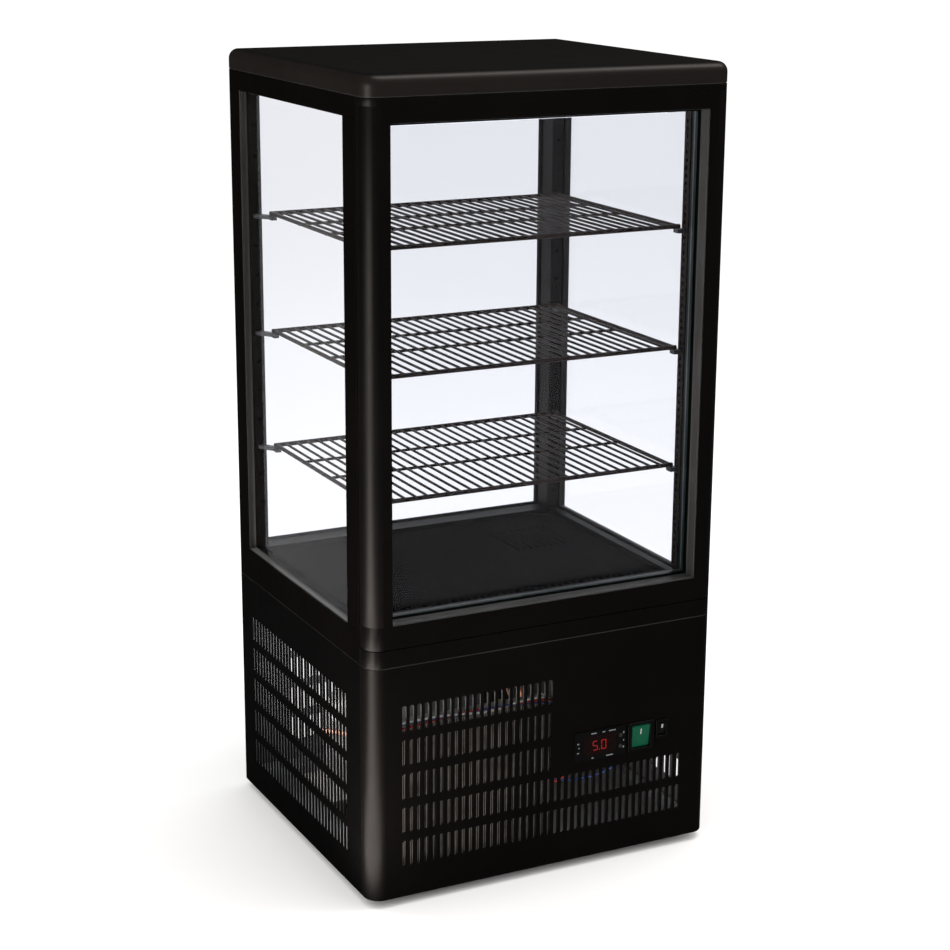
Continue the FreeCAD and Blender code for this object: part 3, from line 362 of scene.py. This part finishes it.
def sweep_rect(name, plane, x0, x1, z0, z1, prof, mat, body):
    """Closed rectangular ring. prof: closed section as (inset from the rectangle, depth). plane maps (u, v, d) to XYZ."""
    verts, faces = [], []
    corners = ((x0, z0, 1, 1), (x1, z0, -1, 1), (x1, z1, -1, -1), (x0, z1, 1, -1))
    k = len(prof)
    for (cx, cz, sx, sz) in corners:
        for (ins, d) in prof:
            verts.append(plane(cx + sx * ins, cz + sz * ins, d))
    for i in range(4):
        j = (i + 1) % 4
        for a in range(k):
            b = (a + 1) % k
            faces.append((i * k + a, i * k + b, j * k + b, j * k + a))
    return add_mesh(name, verts, faces, mat, body, True, 25.0)


def tube(name, pts, r, mat, body, res=12, cyclic=False):
    cu = bpy.data.curves.new(name, "CURVE")
    cu.dimensions = "3D"
    sp = cu.splines.new("NURBS")
    sp.points.add(len(pts) - 1)
    for p, q in zip(sp.points, pts):
        p.co = (*q, 1.0)
    sp.order_u = 4 if len(pts) > 3 else 3
    sp.use_endpoint_u = not cyclic
    sp.use_cyclic_u = cyclic
    cu.bevel_depth = r
    cu.bevel_resolution = 3
    cu.resolution_u = res
    cu.use_fill_caps = True
    cu.materials.append(mat)
    o = bpy.data.objects.new(name, cu)
    SC.collection.objects.link(o)
    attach(o, body)
    return o


def rounded_bar(name, x0, x1, y0, y1, z0, z1, r, mat, body, seg=3):
    """Box with all its edges rounded."""
    bm = bmesh.new()
    bmesh.ops.create_cube(bm, size=1.0)
    for v in bm.verts:
        v.co = Vector((x0 if v.co.x < 0 else x1, y0 if v.co.y < 0 else y1, z0 if v.co.z < 0 else z1))
    bmesh.ops.bevel(bm, geom=list(bm.edges), offset=r, segments=seg, profile=0.6, affect="EDGES")
    bmesh.ops.recalc_face_normals(bm, faces=bm.faces)
    me = bpy.data.meshes.new(name)
    bm.to_mesh(me)
    bm.free()
    me.materials.append(mat)
    me.polygons.foreach_set("use_smooth", [True] * len(me.polygons))
    me.set_sharp_from_angle(angle=math.radians(40))
    o = bpy.data.objects.new(name, me)
    SC.collection.objects.link(o)
    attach(o, body)
    return o


mm = 0.001

# glazing beads: the pale lips round each window; their grey is a painted highlight for light falling on the lips
front_plane = lambda u, v, d: (u, d, v)
sweep_rect("door_glazing_bead", front_plane, -187 * mm, 187 * mm, 324.4 * mm, 849.6 * mm,
           [(-0.05 * mm, -191.5 * mm), (0.7 * mm, -190.6 * mm), (1.1 * mm, -186.0 * mm), (1.1 * mm, -179.2 * mm),
            (1.9 * mm, -178.1 * mm), (-0.05 * mm, -178.1 * mm)], M["bead"], "door")
sweep_rect("door_spacer_line", front_plane, -183 * mm, 183 * mm, 328.4 * mm, 845.6 * mm,
           [(-0.05 * mm, -169.9 * mm), (0.35 * mm, -169.6 * mm), (0.35 * mm, -168.2 * mm), (-0.05 * mm, -167.9 * mm)],
           M["spacer_line"], "door")
for sx, nm in ((-1, "left"), (1, "right")):
    side_plane = lambda u, v, d, s=sx: (d * s, u, v)
    sweep_rect("side_glazing_bead_" + nm, side_plane, -137 * mm, 156 * mm, 314.3 * mm, 853.7 * mm,
               [(-0.05 * mm, 214.0 * mm), (0.6 * mm, 213.4 * mm), (0.9 * mm, 209.6 * mm), (1.8 * mm, 207.6 * mm),
                (2.4 * mm, 206.5 * mm), (-0.05 * mm, 206.5 * mm)], M["bead_lit"], "cabinet")
sweep_rect("rear_glazing_bead", front_plane, -188 * mm, 188 * mm, 314.3 * mm, 853.7 * mm,
           [(-0.05 * mm, 192.0 * mm), (0.6 * mm, 191.4 * mm), (0.9 * mm, 187.6 * mm), (1.8 * mm, 185.6 * mm),
            (2.4 * mm, 184.5 * mm), (-0.05 * mm, 184.5 * mm)], M["bead_lit"], "cabinet")

# controller: two seven-segment digits, legend marks
ctl_x, ctl_z = 68.5, 145.1


def segment(name, cx, cz, w, h, on, y):
    """One seven-segment digit as bevelled bars."""
    t = w * 0.17
    bars = {
        "a": (cx - w / 2 + t, cx + w / 2 - t, cz + h / 2 - t, cz + h / 2),
        "g": (cx - w / 2 + t, cx + w / 2 - t, cz - t / 2, cz + t / 2),
        "d": (cx - w / 2 + t, cx + w / 2 - t, cz - h / 2, cz - h / 2 + t),
        "f": (cx - w / 2, cx - w / 2 + t, cz + t * 0.3, cz + h / 2 - t * 0.4),
        "b": (cx + w / 2 - t, cx + w / 2, cz + t * 0.3, cz + h / 2 - t * 0.4),
        "e": (cx - w / 2, cx - w / 2 + t, cz - h / 2 + t * 0.4, cz - t * 0.3),
        "c": (cx + w / 2 - t, cx + w / 2, cz - h / 2 + t * 0.4, cz - t * 0.3),
    }
    for k in on:
        x0, x1, z0, z1 = bars[k]
        rounded_bar(name + "_" + k, x0 * mm, x1 * mm, (y - 0.12) * mm, (y + 0.2) * mm, z0 * mm, z1 * mm, 0.1 * mm,
                    M["digit"], "cabinet", 2)


segment("display_tens", ctl_x - 6.6, ctl_z - 0.5, 6.6, 11.6, "acdfg", -194.6)
segment("display_units", ctl_x + 4.4, ctl_z - 0.5, 6.6, 11.6, "abcdef", -194.6)
rounded_bar("display_point", (ctl_x - 1.8) * mm, (ctl_x - 0.6) * mm, -194.72 * mm, -194.4 * mm,
            (ctl_z - 6.3) * mm, (ctl_z - 5.1) * mm, 0.1 * mm, M["digit"], "cabinet", 2)

def stamped(name, base, var, ink, rects):
    """Moulded face with small printed bars; rects are (middle x, middle z, width, height) in mm."""
    m = plastic(name, base, var, (0.3, 0.42), 1800, 0.00002, 0.25, 0.3, 0.01)
    nt = m.node_tree
    bs = next(n for n in nt.nodes if n.type == "BSDF_PRINCIPLED")
    tc = next(n for n in nt.nodes if n.type == "TEX_COORD")
    sep = nt.nodes.new("ShaderNodeSeparateXYZ")
    nt.links.new(tc.outputs["Object"], sep.inputs[0])
    mask = None
    for cx, cz, w, h in rects:
        hit = []
        for k, c, half in (("X", cx, w / 2), ("Z", cz, h / 2)):
            n = nt.nodes.new("ShaderNodeMath")
            n.operation = "COMPARE"
            nt.links.new(sep.outputs[k], n.inputs[0])
            n.inputs[1].default_value = c * mm
            n.inputs[2].default_value = half * mm
            hit.append(n.outputs[0])
        one = math_n(nt, "MULTIPLY", hit[0], hit[1])
        mask = one if mask is None else math_n(nt, "MAXIMUM", mask, one)
    worn = math_n(nt, "MULTIPLY", mask, mrange(nt, noise(nt, tc, 500.0, 3.0), 0.3, 0.7, 0.75, 1.0))
    old = bs.inputs["Base Color"].links[0].from_socket
    nt.links.new(mix_col(nt, worn, old, ink), bs.inputs["Base Color"])
    return m


M["ctl_face"] = stamped("controller_face", (0.0016, 0.0016, 0.0018), (0.0028, 0.0028, 0.003), (0.16, 0.17, 0.18), [
    (ctl_x + dx, ctl_z + dz, w, h) for dx, dz, w, h in (
        (-29.0, 5.0, 2.6, 1.4), (-28.0, 0.0, 1.4, 1.4), (-29.0, -6.0, 2.6, 1.4), (-9.0, 14.6, 7.0, 1.3), (4.0, 14.6, 3.6, 1.3),
        (15.0, 14.6, 9.0, 1.3), (30.0, 9.5, 1.5, 2.4), (30.0, 0.0, 1.3, 1.6), (30.0, -8.0, 1.5, 2.4), (12.0, -14.8, 9.0, 1.3),
        (-10.0, -14.8, 3.0, 1.3))])
for s in N["controller_body"].material_slots:
    s.material = M["ctl_face"]

# rocker marks, tilted with their paddles
def on_paddle(o, piv, deg):
    o.data.transform(Matrix.Translation(Vector(piv)) @ Matrix.Rotation(math.radians(deg), 4, "X") @ Matrix.Translation(-Vector(piv)))


p_l = (150 * mm, -190.7 * mm, 149.4 * mm)
o = rounded_bar("light_rocker_mark", 148.9 * mm, 151.1 * mm, (-190.7 - 3.06) * mm, (-190.7 - 2.8) * mm,
                150.6 * mm, 155.4 * mm, 0.1 * mm, M["mark"], "light_rocker", 2)
on_paddle(o, p_l, 9.0)
p_m = (122 * mm, -189.15 * mm, 145.1 * mm)
o = rounded_bar("main_rocker_bar", 121.2 * mm, 122.8 * mm, (-189.15 - 4.07) * mm, (-189.15 - 3.8) * mm,
                148.0 * mm, 155.0 * mm, 0.1 * mm, M["mark"], "main_rocker", 2)
on_paddle(o, p_m, 8.0)

# loom and refrigerant pipes behind the slots
def loom(name, key, pts, r=1.5):
    tube(name, [tuple(c * mm for c in p) for p in pts], r * mm, M[key], "cabinet")


loom("wire_red_1", "w_red", [(70, -137, 150), (72, -120, 152), (60, -100, 120), (20, -96, 96), (-14, -90, 80), (-36, -20, 82), (-26, 40, 84)])
loom("wire_blue_1", "w_blue", [(66, -137, 144), (64, -118, 140), (74, -104, 98), (40, -100, 66), (0, -92, 56), (-14, -30, 76), (-24, 52, 92)])
loom("wire_white_1", "w_white", [(60, -137, 140), (56, -122, 128), (48, -104, 84), (10, -98, 70), (-18, -86, 70)])
loom("wire_white_2", "w_white", [(122, -166, 146), (124, -150, 140), (130, -120, 112), (136, -90, 70), (134, 20, 58), (132, 120, 56), (132, 166, 60)], 1.7)
loom("wire_red_2", "w_red", [(118, -166, 150), (112, -148, 138), (104, -120, 100), (84, -108, 74), (52, -104, 62), (16, -100, 60)])
loom("wire_blue_2", "w_blue", [(150, -174, 150), (158, -156, 138), (164, -130, 100), (150, -104, 72), (110, -96, 54), (76, -70, 50), (44, -48, 54)])
loom("wire_green_1", "w_green", [(128, 166, 60), (120, 130, 52), (96, 10, 50), (70, -60, 40), (30, -96, 30), (10, -110, 20)])
loom("pipe_suction", "copper", [(-88, 70, 150), (-88, 70, 176), (-60, 60, 188), (-10, 20, 184), (30, -10, 176), (40, -60, 172), (40, -60, 163)], 3.0)
loom("pipe_discharge", "copper", [(-150, 70, 100), (-170, 66, 110), (-178, 10, 130), (-178, -90, 160), (-176, -146, 176), (-170, -160, 186)], 3.0)
loom("pipe_capillary", "copper", [(40, -60, 62), (52, -66, 50), (76, -52, 44), (80, -20, 60), (62, 0, 110), (52, 20, 170), (44, 30, 211)], 1.3)

# harness clipped along the top of the condenser, just behind the upper slots
loom("harness_red", "w_red", [(70, -140, 152), (52, -160, 176), (26, -180, 202), (-10, -184, 209), (-50, -183, 206), (-96, -184, 211), (-140, -183, 205), (-178, -180, 200)], 1.3)
loom("harness_blue", "w_blue", [(68, -140, 148), (50, -158, 172), (24, -178, 198), (-8, -182, 204), (-60, -185, 211), (-104, -182, 204), (-150, -184, 210), (-180, -178, 204)], 1.3)
loom("harness_white", "w_white", [(64, -140, 144), (46, -156, 168), (22, -176, 205), (-20, -185, 213), (-58, -182, 203), (-90, -185, 206), (-130, -185, 212), (-176, -182, 208)], 1.3)

# finned face on the condenser coil
def fin_rows(name, x0, x1, pitch, y0, y1, z0, z1, mat):
    verts, faces = [], []
    x = x0
    while x < x1:
        b = len(verts)
        for dx in (0, 0.3):
            verts += [((x + dx) * mm, y0 * mm, z0 * mm), ((x + dx) * mm, y1 * mm, z0 * mm),
                      ((x + dx) * mm, y1 * mm, z1 * mm), ((x + dx) * mm, y0 * mm, z1 * mm)]
        faces += [(b, b + 1, b + 2, b + 3), (b + 4, b + 7, b + 6, b + 5), (b, b + 4, b + 5, b + 1),
                  (b + 1, b + 5, b + 6, b + 2), (b + 2, b + 6, b + 7, b + 3), (b + 3, b + 7, b + 4, b)]
        x += pitch
    return add_mesh(name, verts, faces, mat, "cabinet", False)


fin_rows("condenser_fin_edges", -185.0, 13.0, 2.2, -177.6, -175.5, 35.5, 198.5, M["coil"])

# screw heads: black bars standing for the shade in the cross recesses, as painted shade
for i, (sx_, sz_) in enumerate(((-180, 262), (0, 262), (180, 262), (-180, 24), (0, 24), (180, 24))):
    rounded_bar("screw_cross_a_%d" % i, (sx_ - 2.2) * mm, (sx_ + 2.2) * mm, 194.3 * mm, 194.62 * mm,
                (sz_ - 0.4) * mm, (sz_ + 0.4) * mm, 0.1 * mm, M["rk"], "cabinet", 1)
    rounded_bar("screw_cross_b_%d" % i, (sx_ - 0.4) * mm, (sx_ + 0.4) * mm, 194.3 * mm, 194.62 * mm,
                (sz_ - 2.2) * mm, (sz_ + 2.2) * mm, 0.1 * mm, M["rk"], "cabinet", 1)

# ---------------------------------------------------------------- stage, light, camera
def mirror_only(nt, lp_):
    """1 for rays mirrored off a surface, 0 for those seen straight or through glass."""
    inv = math_n(nt, "SUBTRACT", 1.0, lp_.outputs["Is Transmission Ray"])
    return math_n(nt, "MULTIPLY", lp_.outputs["Is Glossy Ray"], inv)


fm, nt, bs, out, tc = new_mat("floor_pale")
nt.links.new(mix_col(nt, noise(nt, tc, 1.3, 4.0), (0.90, 0.90, 0.90), (0.925, 0.925, 0.925)), bs.inputs["Base Color"])
nt.links.new(mrange(nt, noise(nt, tc, 60.0), 0.3, 0.7, 0.6, 0.75), bs.inputs["Roughness"])
bs.inputs["Specular IOR Level"].default_value = 0.0
flp = nt.nodes.new("ShaderNodeLightPath")
fdk = nt.nodes.new("ShaderNodeBsdfDiffuse")
fdk.inputs[0].default_value = (0.03, 0.03, 0.03, 1)
fmx = nt.nodes.new("ShaderNodeMixShader")
nt.links.new(mirror_only(nt, flp), fmx.inputs[0])
nt.links.new(bs.outputs[0], fmx.inputs[1])
nt.links.new(fdk.outputs[0], fmx.inputs[2])
nt.links.new(fmx.outputs[0], out.inputs[0])
bpy.ops.mesh.primitive_plane_add(size=40, location=(0, 0, 0))
floor = bpy.context.object
floor.name = "floor"
floor.data.materials.append(fm)

w = bpy.data.worlds.new("studio")
SC.world = w
w.use_nodes = True
nt = w.node_tree
for n in list(nt.nodes):
    nt.nodes.remove(n)
wo = nt.nodes.new("ShaderNodeOutputWorld")
bg1 = nt.nodes.new("ShaderNodeBackground")
bg1.inputs[0].default_value = (1, 1, 1, 1)
bg1.inputs[1].default_value = 1.14
bg2 = nt.nodes.new("ShaderNodeBackground")
bg2.inputs[0].default_value = (1.0, 0.98, 0.95, 1)
bg2.inputs[1].default_value = 0.03
lp = nt.nodes.new("ShaderNodeLightPath")
mx = nt.nodes.new("ShaderNodeMixShader")
see = nt.nodes.new("ShaderNodeMath")
see.operation = "SUBTRACT"
see.inputs[0].default_value = 1.0
nt.links.new(mirror_only(nt, lp), see.inputs[1])
nt.links.new(see.outputs[0], mx.inputs[0])
nt.links.new(bg2.outputs[0], mx.inputs[1])
nt.links.new(bg1.outputs[0], mx.inputs[2])
nt.links.new(mx.outputs[0], wo.inputs[0])


def area(name, loc, target, size, power, col=(1, 1, 1), mirror=True, up=None):
    """Soft light panel that lights the object without showing itself to the lens."""
    d = bpy.data.lights.new(name, "AREA")
    d.shape = "RECTANGLE"
    d.size, d.size_y = size
    d.energy = power
    d.color = col
    o = bpy.data.objects.new(name, d)
    SC.collection.objects.link(o)
    o.location = loc
    z = (Vector(loc) - Vector(target)).normalized()
    y = Vector(up) if up else Vector((0, 0, 1))
    x = y.cross(z).normalized()
    y = z.cross(x)
    o.rotation_mode = "QUATERNION"
    o.rotation_quaternion = Matrix(((x.x, y.x, z.x), (x.y, y.y, z.y), (x.z, y.z, z.z))).to_quaternion()
    o.visible_camera = False
    o.visible_transmission = False
    o.visible_glossy = mirror
    return o


# long low strip and its upright, whose reflection runs down the rounded near corner
ax, ay = -0.91, -0.41
area("corner_strip", (-0.2 + ax * 1.05, -0.18 + ay * 1.05, 0.004), (-0.2 + ax * 1.05, -0.18 + ay * 1.05, 1.0), (0.36, 1.96), 11.5,
     (1.0, 0.90, 0.84), up=(ax, ay, 0))
area("corner_upright", (-0.2 + ax * 1.9, -0.18 + ay * 1.9, 0.5), (-0.2, -0.18, 0.5), (0.9, 1.0), 13, (1.0, 0.90, 0.84))
area("fill", (2.8, -1.4, 1.6), (0, 0, 0.45), (0.7, 1.8), 18, mirror=False)
area("back", (-2.4, 2.4, 2.2), (0, 0, 0.5), (1.2, 1.2), 22, mirror=False)
area("top", (0.8, -0.4, 2.7), (0.0, -0.195, 0.9), (2.4, 0.8), 26, (1.0, 0.94, 0.9), up=(0, 1, 0))
# small work lights inside the machine housing, behind the slots
area("housing_front", (-0.085, -0.1885, 0.117), (-0.085, 0.0, 0.117), (0.2, 0.16), 0.045, (1.0, 0.93, 0.87))
area("housing_right", (0.13, -0.1885, 0.07), (0.13, 0.0, 0.09), (0.13, 0.06), 0.08, (1.0, 0.93, 0.87))
area("housing_left", (-0.2085, 0.0, 0.15), (0.0, 0.0, 0.15), (0.22, 0.2), 0.42)
area("housing_back", (-0.2085, 0.09, 0.17), (0.0, 0.09, 0.17), (0.12, 0.16), 1.1)

cam_d = bpy.data.cameras.new("camera")
cam = bpy.data.objects.new("camera", cam_d)
SC.collection.objects.link(cam)
SC.camera = cam
yaw, pitch, roll = math.radians(26.876), math.radians(15.521), math.radians(0.352)
F = Vector((math.sin(yaw) * math.cos(pitch), math.cos(yaw) * math.cos(pitch), -math.sin(pitch)))
R = F.cross(Vector((0, 0, 1))).normalized()
U = R.cross(F)
R2 = R * math.cos(roll) + U * math.sin(roll)
U2 = -R * math.sin(roll) + U * math.cos(roll)
rot = Matrix(((R2.x, U2.x, -F.x), (R2.y, U2.y, -F.y), (R2.z, U2.z, -F.z)))
cam.matrix_world = Matrix.Translation(Vector((-1.0678, -2.1200, 1.0786))) @ rot.to_4x4()
cam_d.sensor_width = 36.0
cam_d.lens = 2129.8 * 36.0 / 950.0
cam_d.clip_start, cam_d.clip_end = 0.01, 100
SC.view_settings.view_transform = "Standard"
SC.view_settings.look = "None"
SC.view_settings.exposure = 0.0

bpy.context.view_layer.update()
